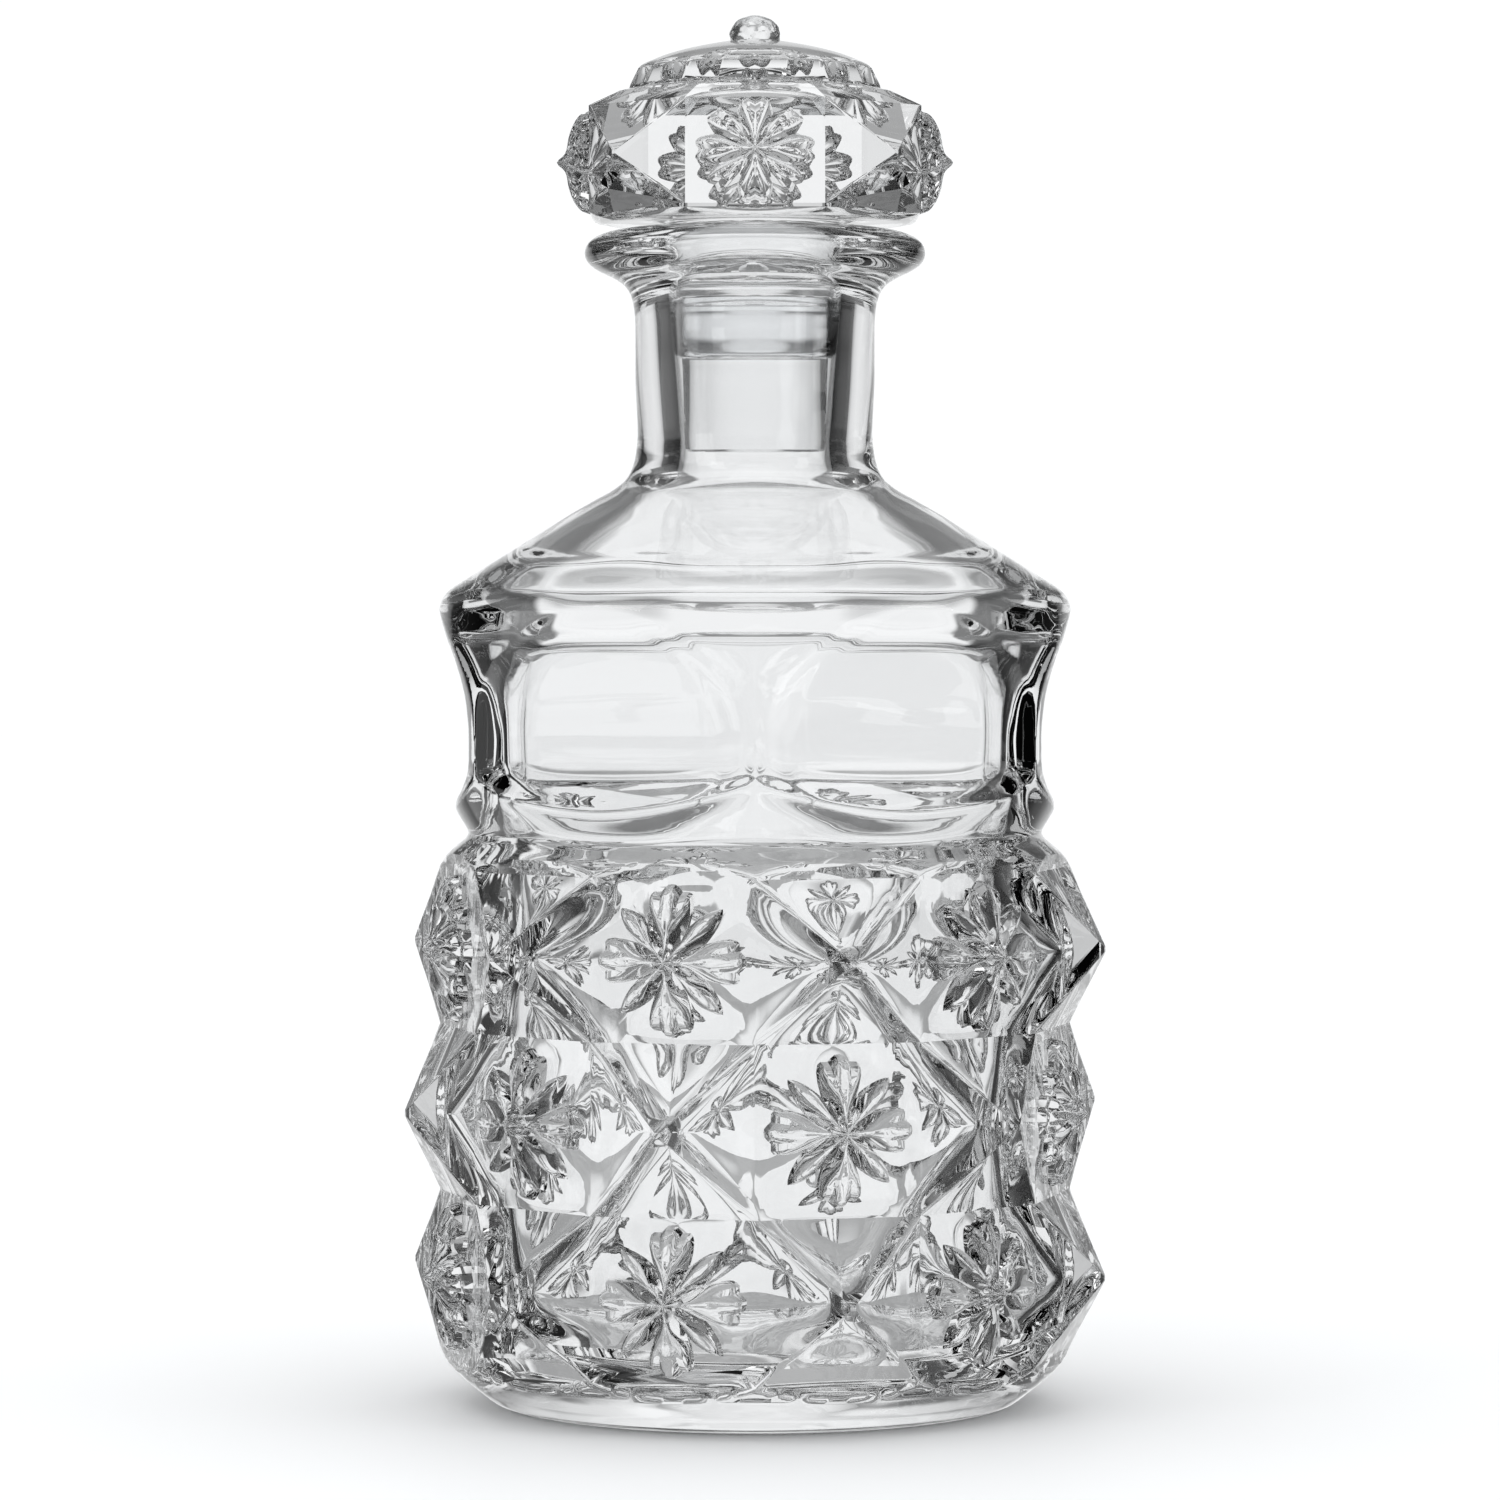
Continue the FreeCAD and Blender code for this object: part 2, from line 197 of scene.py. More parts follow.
def flower_patch(skin, border, place, half_w, half_h, outline, half, tip, crown, edge, lobe_at, groove, deep, squeeze=(1.0, 1.0)):
    x, y = LOOP[:, 0] * half_w, LOOP[:, 1] * half_h
    dist = np.hypot(x, y)
    ca, sa = np.cos(np.radians(LOOP_DEG)) * squeeze[0], np.sin(np.radians(LOOP_DEG)) * squeeze[1]
    previous = border
    foot = outline + 0.40
    fx, fy = foot * ca, foot * sa
    for k in (0.35, 0.7, 1.0):
        px, py = x + (fx - x) * k, y + (fy - y) * k
        now = skin.add(place(px, py, np.zeros(len(px))))
        skin.strip(previous, now)
        previous = now
    for t in RELIEF_T:
        h = flower_relief(t, LOOP_DEG, half, tip, crown, edge, lobe_at, groove, deep)
        now = skin.add(place(outline * t * ca, outline * t * sa, h))
        skin.strip(previous, now)
        previous = now
    centre = skin.add(place(np.zeros(1), np.zeros(1), np.array([tip])))[0]
    skin.fan(previous, centre)


def pyramid_patch(skin, border, place, half_w, half_h, height, flat=0.035, blunt=0.16):
    corner = np.isclose(np.abs(LOOP[:, 0]), 1.0) & np.isclose(np.abs(LOOP[:, 1]), 1.0)
    previous = border
    for s in (0.985, 0.62, 0.30, 0.12, flat):
        h = np.full(len(LOOP), height * (1.0 - s))
        h = h - corner * blunt * min(1.0, s * 6.0) * (1.0 - smoothstep(0.9, 1.0, s))
        now = skin.add(place(LOOP[:, 0] * half_w * s, LOOP[:, 1] * half_h * s, h))
        skin.strip(previous, now)
        previous = now
    centre = skin.add(place(np.zeros(1), np.zeros(1), np.array([height * (1.0 - flat)])))[0]
    skin.fan(previous, centre)


# ================================================================ decanter body
CORNER = 57.0
APOTHEM = CORNER * math.cos(math.radians(15.0))
CELL_W = CORNER * math.sin(math.radians(15.0))
ROW_Z = [9.3, 38.1, 68.2, 96.6]
HOLLOW_FLAT, DENT, DENT_EDGE, DENT_SOFT, DOME = 46.8, 8.0, 0.24, 0.16, 2.5
NARROW_FROM = 80.0

cell_angle = np.concatenate([np.radians(15.0 + 30.0 * k) + np.arctan(U[:-1] * math.tan(math.radians(15.0))) for k in range(12)])
delta12 = np.concatenate([np.arctan(U[:-1] * math.tan(math.radians(15.0))) for k in range(12)])
FLAT_R = APOTHEM / np.cos(delta12)
PANEL_DELTA = np.abs((np.degrees(cell_angle) % 60.0) - 30.0)


def revolve_r(z, table):
    zz = [p[1] for p in table]
    rr = [p[0] for p in table]
    return float(np.interp(z, zz, rr))


FOOT = [(46.0, 0.0), (47.6, 0.45), (49.9, 2.2), (51.8, 3.7), (53.4, 5.1), (54.9, 6.6), (56.2, 8.0), (57.0, 9.3)]
TOP = [(57.0, 96.6), (56.3, 97.8), (55.2, 99.2), (53.5, 100.7), (52.2, 101.8), (51.8, 102.7), (52.1, 103.6), (53.2, 105.4), (54.4, 107.5),
       (55.7, 109.8), (56.7, 111.9), (57.0, 113.4), (57.0, 138.0), (57.12, 141.5), (57.0, 143.2), (56.5, 144.7), (55.5, 146.1), (54.2, 147.1)]
PANEL = [(54.9, 106.6), (54.25, 107.6), (53.3, 109.2), (52.3, 110.7), (51.6, 112.2), (51.1, 113.6), (50.85, 115.2), (50.8, 118.0), (50.8, 121.0),
         (51.05, 124.0), (51.45, 127.0), (52.0, 129.4), (52.75, 131.9), (53.45, 133.9), (54.2, 135.7), (54.95, 137.2), (55.7, 138.9), (56.5, 140.7), (57.6, 143.0), (59.0, 145.6), (61.0, 149.0)]

body = Skin()
A = cell_angle
# underside: a shallow hollow inside the ground ring it stands on
centre = body.add([(0.0, 0.0, 0.9)])[0]
A2 = A[::2]
first = body.ring(A2, 12.0, 0.9)
body.start_fan(centre, first)
prev = first
for r, z in ((26.0, 0.85), (37.0, 0.6), (41.0, 0.25)):
    now = body.ring(A2, r, z)
    body.strip(prev, now)
    prev = now
now = body.ring(A, 43.0, 0.0)
for i in range(len(prev)):                 # from half as many points to all of them
    p, q = prev[i], prev[(i + 1) % len(prev)]
    s, t, u_ = now[2 * i], now[2 * i + 1], now[(2 * i + 2) % len(now)]
    body.f.append((p, t, s))
    body.f.append((p, q, u_, t))
prev = now
foot_line = curve(FOOT, 2)
for r, z in foot_line[:-1]:
    rr = soft_min(np.full(len(A), r), FLAT_R, 0.05)
    now = body.ring(A, rr, z)
    body.strip(prev, now)
    prev = now
row_ring = []
for z in ROW_Z:
    row_ring.append(body.ring(A, FLAT_R, z))
body.strip(prev, row_ring[0])


def cell_place(k, zc):
    a = math.radians(15.0 + 30.0 * k)
    nx, ny, tx, ty = math.sin(a), -math.cos(a), math.cos(a), math.sin(a)

    def place(x, y, h):
        return zip(nx * (APOTHEM + h) + tx * x, ny * (APOTHEM + h) + ty * x, zc + y)

    return place


outline_body = petal_outline(LOOP_DEG, BODY_MAIN, BODY_LEAF)
for row in range(3):
    z0, z1 = ROW_Z[row], ROW_Z[row + 1]
    zc, hh = (z0 + z1) / 2, (z1 - z0) / 2
    upright = []
    for k in range(12):
        a = math.radians(30.0 * k)
        upright.append(body.add([(CORNER * math.sin(a), -CORNER * math.cos(a), zc + hh * v) for v in U[1:-1]]))
    for k in range(12):
        lower = [row_ring[row][(k * N + i) % (12 * N)] for i in range(N + 1)]
        upper = [row_ring[row + 1][(k * N + i) % (12 * N)] for i in range(N + 1)]
        left, right = upright[k], upright[(k + 1) % 12]
        border = lower[:-1] + [lower[-1]] + right + upper[:0:-1] + [upper[0]] + left[::-1]
        place = cell_place(k, zc)
        is_pyramid = (k + row) % 2 == 0     # rows 0 and 2: the cell right of the front is a pyramid
        if is_pyramid:
            pyramid_patch(body, border, place, CELL_W, hh, (APEX - APOTHEM) / (1.0 - 0.035))
        else:
            flower_patch(body, border, place, CELL_W, hh, outline_body, 27.0, 6.4, 4.9, 1.5, 9.5, 0.6, 0.85)

# bevel, ring band and thumb-cut band
zs = [97.2, 97.9, 98.6, 99.2, 99.8, 100.4, 101.0, 101.6, 102.2, 102.7, 103.2, 103.8, 104.5, 105.2, 105.9, 106.6, 107.2]
zs += list(np.arange(107.8, 117.0, 0.62)) + list(np.arange(117.4, 131.0, 1.15)) + list(np.arange(131.6, 140.2, 0.6)) + list(np.arange(140.5, 146.9, 0.32)) + [147.1]
prev = row_ring[3]
top_z = np.array([p[1] for p in TOP])
top_r = np.array([p[0] for p in TOP])
pan_z = np.array([p[1] for p in PANEL])
pan_r = np.array([p[0] for p in PANEL])
top_s = np.array(curve(TOP, 6))
pan_s = np.array(curve(PANEL, 6))
for z in zs:
    rb = float(np.interp(z, top_s[:, 1], top_s[:, 0]))
    rr = np.full(len(A), rb)
    if z < 103.0:
        rr = soft_min(rr, FLAT_R, 0.05)
    if z > 105.8:
        ap = float(np.interp(z, pan_s[:, 1], pan_s[:, 0]))
        floor = ap / np.cos(np.radians(PANEL_DELTA))
        e = 0.80 - 0.42 * float(smoothstep(126.0, 138.0, z)) - 0.45 * float(1.0 - smoothstep(108.0, 115.0, z))
        land = 0.5 * (rr + floor) - e
        rr = soft_min(soft_min(rr, floor, 0.10), land, 0.10)
    now = body.ring(A, rr, z)
    body.strip(prev, now)
    prev = now

# shoulder, neck and lip, then the bore: all round
OUT = [(54.2, 147.1), (50.0, 149.75), (44.0, 153.5), (38.0, 157.25), (33.5, 160.05), (30.8, 161.6), (28.6, 162.85), (26.6, 163.9), (24.9, 165.0), (23.6, 166.1), (22.7, 167.3),
       (22.0, 169.0), (21.5, 171.2), (21.2, 174.5), (21.35, 179.0), (21.6, 184.0), (21.6, 194.0), (21.85, 197.2), (22.25, 199.0), (22.9, 200.5), (24.1, 201.8),
       (25.9, 202.9), (28.0, 203.9), (29.7, 205.0), (30.6, 206.3), (30.7, 207.5), (30.2, 208.8), (28.9, 209.9), (27.0, 210.7), (24.6, 211.2), (22.3, LIP_TOP - 0.02), (20.2, 211.2), (18.5, 210.6),
       (17.3, 209.6), (16.6, 208.2), (16.3, 206.0), (15.95, 202.5), (15.55, 199.5, 0), (14.5244, 186.24), (13.5, 173.0, 0), (13.6, 169.5), (13.9, 167.2), (14.8, 165.0), (16.6, 162.9),
       (18.9, 161.0), (21.8, 158.9), (25.8, 156.2), (29.8, 153.6), (33.6, 151.1), (37.4, 148.6)]
line = curve(OUT, 2)
now = body.ring(A2, line[1][0], line[1][1])
body.halve(prev, now)
prev = now
for r, z in line[2:]:
    now = body.ring(A2, r, z)
    body.strip(prev, now)
    prev = now

# the hollow: blown into the same mould, its wall follows the cuts outside at an even thickness, with softer edges
WALL = 8.2
U2 = U[::2]
N2 = len(U2) - 1
IN_ROUND = np.array([(96.6, 45.2), (99.0, 45.0), (102.0, 45.1), (105.0, 45.7), (108.0, 46.7), (111.0, 47.8), (114.0, 48.6), (118.0, 48.9), (122.0, 49.0), (128.0, 49.0), (134.0, 49.0), (136.6, 49.0), (137.3, 48.93), (137.9, 48.74), (138.4, 48.46), (138.9, 48.12), (140.0, 47.17), (143.0, 44.55), (145.2, 42.6), (146.2, 41.5), (147.0, 40.3), (148.6, 37.4), (149.9, 35.4)])
IN_PANEL = np.array([(96.6, 47.5), (100.0, 46.5), (104.0, 45.2), (108.0, 44.1), (111.0, 43.4), (114.0, 43.0), (118.0, 42.9), (122.0, 42.95), (126.0, 43.3), (129.4, 44.0), (131.9, 44.75), (133.9, 45.5), (135.7, 46.3), (136.9, 46.9), (137.7, 47.15), (138.4, 47.1), (139.0, 46.8), (140.0, 46.05), (141.0, 45.2), (142.0, 44.4), (143.2, 43.5), (144.5, 42.5), (146.0, 41.3), (147.0, 40.3), (148.6, 38.6), (150.0, 37.0)])
in_r = np.array(curve([(r, z) for z, r in IN_ROUND], 5))
in_p = np.array(curve([(r, z) for z, r in IN_PANEL], 5))
panel_delta2 = np.radians(np.abs((np.degrees(A2) % 60.0) - 30.0))
prev_ring = prev
for z in np.concatenate([np.arange(148.1, 132.0, -0.35), np.arange(131.4, 126.0, -0.8), np.arange(125.2, 99.0, -1.3), [98.2]]):
    rr = np.full(len(A2), float(np.interp(z, in_r[:, 1], in_r[:, 0])))
    flat = float(np.interp(z, in_p[:, 1], in_p[:, 0])) / np.cos(panel_delta2)
    rr = soft_min(rr, flat, 1.0)
    now = body.ring(A2, rr, z)
    body.strip(prev_ring, now)
    prev_ring = now


def dent(t, soft):
    return 0.5 * (t + np.sqrt(t * t + soft * soft))


def hollow_r(angle, z):
    """Radius of the hollow's wall in the pattern rows."""
    angle, z = np.asarray(angle, float), np.asarray(z, float)
    d = (np.degrees(angle) % 30.0) - 15.0
    base = soft_min(HOLLOW_FLAT / np.cos(np.radians(d)), np.full(len(d), HOLLOW_FLAT + 1.1), 0.8)
    for row in range(3):
        z0, z1 = ROW_Z[row], ROW_Z[row + 1]
        y = (z - (z0 + z1) / 2) / ((z1 - z0) / 2)
        for k in range(12):
            off = np.degrees(angle) - (15.0 + 30.0 * k)
            off = (off + 180.0) % 360.0 - 180.0
            near = np.abs(off) < 50.0
            x = np.tan(np.radians(np.clip(off, -60, 60))) / math.tan(math.radians(15.0))
            if (k + row) % 2 == 0:
                m = 0.5 * (np.abs(x) + np.abs(y) + np.sqrt((np.abs(x) - np.abs(y)) ** 2 + DENT_EDGE ** 2))
                base = base + near * DENT * dent(1.0 - m, DENT_SOFT)
            else:
                base = base + near * DOME * np.exp(-(x * x + y * y) / 0.32)
    low = smoothstep(11.5, 21.0, z)
    base = base * low + (1.0 - low) * np.minimum(base, 47.0)
    high = smoothstep(NARROW_FROM, 98.0, z)
    return base * (1.0 - high) + high * 45.2


inner_z = [ROW_Z[0] + 5.2, ROW_Z[1], ROW_Z[2], ROW_Z[3]]
ring_top = body.add([(r * math.sin(a), -r * math.cos(a), inner_z[3]) for a, r in zip(A2, hollow_r(A2, np.full(len(A2), inner_z[3])))])
body.strip(prev_ring, ring_top)
rings = [None, None, None, ring_top]
for i in (2, 1, 0):
    rings[i] = body.ring(A2, hollow_r(A2, np.full(len(A2), inner_z[i])), inner_z[i])
for row in (2, 1, 0):
    z0, z1 = inner_z[row], inner_z[row + 1]
    zc, hh = (z0 + z1) / 2, (z1 - z0) / 2
    upright = []
    for k in range(12):
        a = np.full(N2 - 1, A2[(k * N2) % len(A2)])
        zz = zc + hh * U2[1:-1]
        r = hollow_r(a, zz)
        upright.append(body.add(zip(r * np.sin(a), -r * np.cos(a), zz)))
    for k in range(12):
        lower = [rings[row][(k * N2 + i) % (12 * N2)] for i in range(N2 + 1)]
        upper = [rings[row + 1][(k * N2 + i) % (12 * N2)] for i in range(N2 + 1)]
        left, right = upright[k], upright[(k + 1) % 12]
        border = lower + right + upper[:0:-1] + [upper[0]] + left[::-1]
        loop = np.array([(u, -1.0) for u in U2[:-1]] + [(1.0, v) for v in U2[:-1]] + [(u, 1.0) for u in U2[:0:-1]] + [(-1.0, v) for v in U2[:0:-1]])
        centre_a = math.radians(15.0 + 30.0 * k)
        previous = border
        for s_ in ((0.93, 0.85, 0.76, 0.67, 0.58, 0.49, 0.40, 0.31, 0.22, 0.14, 0.06) if (k + row) % 2 == 0 else (0.88, 0.74, 0.60, 0.46, 0.32, 0.16)):
            aa = centre_a + np.arctan(loop[:, 0] * s_ * math.tan(math.radians(15.0)))
            zz = zc + hh * s_ * loop[:, 1]
            r = hollow_r(aa, zz)
            nw = body.add(zip(r * np.sin(aa), -r * np.cos(aa), zz))
            for i in range(len(nw)):
                j = (i + 1) % len(nw)
                body.f.append((previous[j], previous[i], nw[i], nw[j]))
            previous = nw
        r = hollow_r(np.array([centre_a]), np.array([zc]))
        c = body.add([(r[0] * math.sin(centre_a), -r[0] * math.cos(centre_a), zc)])[0]
        for i in range(len(previous)):
            body.f.append((previous[(i + 1) % len(previous)], previous[i], c))
prev = rings[0]
r0 = hollow_r(A2, np.full(len(A2), inner_z[0]))
for w, z in ((0.25, 13.6), (0.5, 12.7), (0.75, 12.0)):
    now = body.ring(A2, r0 * (1 - w) + 41.5 * w - (1 - w) * w * 2.0, z)
    body.strip(prev, now)
    prev = now
for r, z in curve([(40.8, 11.75), (37.5, 11.45), (28.0, 11.0), (14.0, 10.8), (5.0, 10.8)], 2):
    now = body.ring(A2, r, z)
    body.strip(prev, now)
    prev = now
centre = body.add([(0.0, 0.0, 10.8)])[0]
body.fan(prev, centre)
glass_body = body.mesh("crystal_body", 28.0)
print("crystal_body faces", sum(len(f) - 2 for f in body.f))

# ================================================================ stopper
HEAD_R = 32.1
HEAD_AP = HEAD_R * math.cos(math.radians(22.5))
HEAD_W = HEAD_R * math.sin(math.radians(22.5))
H0, H1 = 214.2, 232.8
base_b = np.arctan(U * math.tan(math.radians(22.5)))


def warped(anchor_deg):
    b = np.degrees(base_b[N // 2:])
    j = int(np.argmin(np.abs(b - anchor_deg)))
    idx = np.arange(len(b))
    w = np.interp(idx, [0, j, len(b) - 1], [0.0, anchor_deg, 22.5])
    return np.radians(np.concatenate([-w[:0:-1], w]))


head_angle = np.concatenate([np.radians(45.0 * k) + base_b[:-1] for k in range(8)])
head_delta = np.concatenate([base_b[:-1] for k in range(8)])
tier_angle = np.concatenate([np.radians(45.0 * k) + (warped(16.0) if k % 2 == 0 else warped(11.0))[:-1] for k in range(8)])
OCT_R = HEAD_AP / np.cos(head_delta)


def tier_radius(angle):
    """Flat cuts round the dome tier: wide ones over the roses, narrow ones between, as a share of the corner radius."""
    d = np.degrees(angle) % 90.0
    d = np.minimum(d, 90.0 - d)
    middle, half = np.where(d < 16.0, 0.0, np.where(d < 34.0, 25.0, 45.0)), np.where(d < 16.0, 16.0, np.where(d < 34.0, 9.0, 11.0))
    return np.cos(np.radians(half)) / np.cos(np.radians(d - middle))


stop = Skin()
HA2 = head_angle[::2]
centre = stop.add([(0.0, 0.0, PEG_END + 0.02)])[0]
under = [(4.0, PEG_END + 0.02), (9.4, PEG_END + 0.03), (11.9, PEG_END + 0.08), (12.35, PEG_END + 0.25), (12.6, PEG_END + 0.65, 0), (12.72, 173.0), (12.85, 177.0), (13.12, 186.0), (13.2, 187.2), (13.2, 193.0), (13.2, 199.2, 0), (13.75, 199.2, 0), (14.5, 199.3), (14.7, 199.75),
         (14.8, 203.0), (14.9, 206.0), (15.2, 206.5), (15.55, 207.2), (15.6, 209.0), (15.6, 211.2), (15.8, 212.1), (16.6, 212.5), (19.0, 212.55), (23.0, 212.5), (25.6, 212.45), (27.2, 212.5)]
line = curve(under, 2)
first = stop.ring(HA2, line[0][0], line[0][1])
stop.start_fan(centre, first)
prev = first
for r, z in line[1:]:
    now = stop.ring(HA2, r, z)
    stop.strip(prev, now)
    prev = now
now = stop.ring(head_angle, 28.0 * (0.7 + 0.3 * OCT_R / HEAD_AP), 212.75)
for i in range(len(prev)):
    p, q = prev[i], prev[(i + 1) % len(prev)]
    s, t, u_ = now[2 * i], now[2 * i + 1], now[(2 * i + 2) % len(now)]
    stop.f.append((p, t, s))
    stop.f.append((p, q, u_, t))
prev = now
for r, z, w in ((28.7, 213.15, 0.85), (29.25, 213.6, 1.0)):
    now = stop.ring(head_angle, r * (1.0 - w + w * OCT_R / HEAD_AP), z)
    stop.strip(prev, now)
    prev = now
low = stop.ring(head_angle, OCT_R, H0)
high = stop.ring(head_angle, OCT_R, H1)
stop.strip(prev, low)
hzc, hhh = (H0 + H1) / 2, (H1 - H0) / 2
upright = []
for k in range(8):
    a = math.radians(-22.5 + 45.0 * k)
    upright.append(stop.add([(HEAD_R * math.sin(a), -HEAD_R * math.cos(a), hzc + hhh * v) for v in U[1:-1]]))

ROSE_MAIN = ([0, 3, 6, 9, 12, 15, 18, 21, 24], [9.3, 9.55, 9.9, 10.0, 9.8, 9.3, 8.6, 7.9, 7.3])
ROSE_LEAF = ([0, 3, 6, 9, 12, 15, 18, 21], [9.3, 9.6, 9.9, 9.85, 9.35, 8.6, 7.9, 7.3])
outline_rose = petal_outline(LOOP_DEG, ROSE_MAIN, ROSE_LEAF)
for k in range(8):
    lower = [low[(k * N + i) % (8 * N)] for i in range(N + 1)]
    upper = [high[(k * N + i) % (8 * N)] for i in range(N + 1)]
    left, right = upright[k], upright[(k + 1) % 8]
    border = lower + right + upper[:0:-1] + [upper[0]] + left[::-1]
    a = math.radians(45.0 * k)
    nx, ny, tx, ty = math.sin(a), -math.cos(a), math.cos(a), math.sin(a)

    def place(x, y, h, nx=nx, ny=ny, tx=tx, ty=ty):
        return zip(nx * (HEAD_AP + h) + tx * x, ny * (HEAD_AP + h) + ty * x, hzc + y)

    if k % 2:
        pyramid_patch(stop, border, place, HEAD_W, hhh, 5.6 / (1.0 - 0.035), blunt=0.12)
    else:
        flower_patch(stop, border, place, HEAD_W, hhh, outline_rose, 24.0, HEAD_OUT - 0.05 - HEAD_AP, 4.5, 1.0, 0.0, 0.35, 0.42, squeeze=(1.02, 0.90))

prev = high
for r, z in ((27.8, 233.75), (25.9, 234.7), (24.2, 235.6)):      # eight flat slopes
    now = stop.ring(head_angle, r * OCT_R / HEAD_AP, z)
    stop.strip(prev, now)
    prev = now
for w, r, z in ((0.55, 23.6, 235.95), (1.0, 22.95, 236.15)):      # and a narrow ledge round the dome tier
    ang = head_angle * (1 - w) + tier_angle * w
    now = stop.ring(ang, r * ((1 - w) * (OCT_R / HEAD_AP) + w * tier_radius(ang) / 0.961), z)
    stop.strip(prev, now)
    prev = now
tier = [(22.5, 236.4, 0), (22.35, 237.0, 0), (20.9, 240.0, 0), (19.9, 241.0), (18.1, 242.0), (15.2, 243.05), (11.6, 244.0), (8.0, 244.75), (5.0, 245.3, 0)]
line = curve(tier, 2)
for r, z in line:
    w = float(smoothstep(18.6, 20.7, r))      # the flat cuts run out into the round crown
    shape = (1 - w) + w * tier_radius(tier_angle) / 0.961
    now = stop.ring(tier_angle, r * shape, z)
    stop.strip(prev, now)
    prev = now
knob = [(4.45, 245.4, 0), (4.65, 246.1), (4.6, 246.9), (4.3, 247.9), (3.6, 248.8), (2.4, 249.5), (1.1, KNOB_TOP - 0.05)]
for r, z in curve(knob, 2):
    wrinkle = 0.16 * np.cos(7.0 * tier_angle + 0.7) * np.cos((z - 245.4) * 2.4) * min(1.0, r / 3.5)
    now = stop.ring(tier_angle, r - 0.12 + wrinkle, z)
    stop.strip(prev, now)
    prev = now
centre = stop.add([(0.0, 0.0, KNOB_TOP - 0.01)])[0]
stop.fan(prev, centre)
glass_stopper = stop.mesh("crystal_stopper", 19.0)

# ================================================================ sealing sleeve
sleeve = Skin()
SA = np.radians(np.arange(0, 360, 3.0))
LOW, HIGH = SLEEVE_LOW, SLEEVE_HIGH
taper = lambda z: 13.5 + (15.55 - 13.5) * (z - 173.0) / (199.5 - 173.0) - 0.06
loop = [(13.26, LOW + 0.3), (13.45, LOW), (13.8, LOW), (14.2, LOW + 0.25), (taper(LOW + 0.9), LOW + 0.9), (taper(LOW + 2.6), LOW + 2.6), (taper(193.0), 193.0), (taper(197.5), 197.5),
        (taper(HIGH - 0.5), HIGH - 0.5), (15.2, HIGH - 0.1), (14.8, HIGH), (13.6, HIGH), (13.26, HIGH - 0.3), (13.26, 193.4)]
rings = [sleeve.ring(SA, r, z) for r, z in loop]
for i in range(len(rings)):
    sleeve.strip(rings[i], rings[(i + 1) % len(rings)])
seal_piece = sleeve.mesh("sealing_sleeve", 40.0)


# ================================================================ materials
def glass(name, ior, tint, rough, wave_scale, wave, fine_scale, fine):
    m = bpy.data.materials.new(name)
    m.use_nodes = True
    nt = m.node_tree
    p = nt.nodes["Principled BSDF"]
    p.inputs["Base Color"].default_value = (*tint, 1.0)
    p.inputs["Transmission Weight"].default_value = 1.0
    p.inputs["Roughness"].default_value = rough
    p.inputs["IOR"].default_value = ior
    tc = nt.nodes.new("ShaderNodeTexCoord")
    n1 = nt.nodes.new("ShaderNodeTexNoise")
    n1.inputs["Scale"].default_value = wave_scale
    n1.inputs["Detail"].default_value = 1.5
    n2 = nt.nodes.new("ShaderNodeTexNoise")
    n2.inputs["Scale"].default_value = fine_scale
    n2.inputs["Detail"].default_value = 2.0
    b1 = nt.nodes.new("ShaderNodeBump")
    b1.inputs["Strength"].default_value = 1.0
    b1.inputs["Distance"].default_value = wave
    b2 = nt.nodes.new("ShaderNodeBump")
    b2.inputs["Strength"].default_value = 1.0
    b2.inputs["Distance"].default_value = fine
    nt.links.new(tc.outputs["Object"], n1.inputs["Vector"])
    nt.links.new(tc.outputs["Object"], n2.inputs["Vector"])
    nt.links.new(n1.outputs["Fac"], b1.inputs["Height"])
    nt.links.new(n2.outputs["Fac"], b2.inputs["Height"])
    nt.links.new(b1.outputs["Normal"], b2.inputs["Normal"])
    nt.links.new(b2.outputs["Normal"], p.inputs["Normal"])
    return m


m_body = glass("crystal_pressed", 1.545, (0.995, 0.998, 1.0), 0.0, 45.0, 0.00008, 120.0, 0.000004)
m_stop = glass("crystal_stopper_glass", 1.545, (0.995, 0.998, 1.0), 0.0, 60.0, 0.00005, 140.0, 0.000003)
m_seal = glass("clear_polymer", 1.49, (0.985, 0.99, 0.995), 0.06, 200.0, 0.00001, 500.0, 0.000002)
glass_body.data.materials.append(m_body)
glass_stopper.data.materials.append(m_stop)
seal_piece.data.materials.append(m_seal)

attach(glass_body, "decanter")
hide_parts("decanter_body")
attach(glass_stopper, "stopper")
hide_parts("stopper")
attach(seal_piece, "seal")
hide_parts("stopper_seal")


# ================================================================ stage, light and camera
scene = bpy.context.scene
me = bpy.data.meshes.new("floor")
S = 6.0
me.from_pydata([(-S, -S, 0), (S, -S, 0), (S, S, 0), (-S, S, 0)], [], [(0, 1, 2, 3)])
floor = bpy.data.objects.new("floor", me)
floor.location = (0, 0, -0.0003)
scene.collection.objects.link(floor)
fm = bpy.data.materials.new("pale_floor")
fm.use_nodes = True
fp = fm.node_tree.nodes["Principled BSDF"]
fp.inputs["Base Color"].default_value = (0.93, 0.935, 0.94, 1)
fp.inputs["Roughness"].default_value = 0.6
fp.inputs["Specular IOR Level"].default_value = 0.2
me.materials.append(fm)
floor.visible_transmission = False
floor.visible_glossy = False

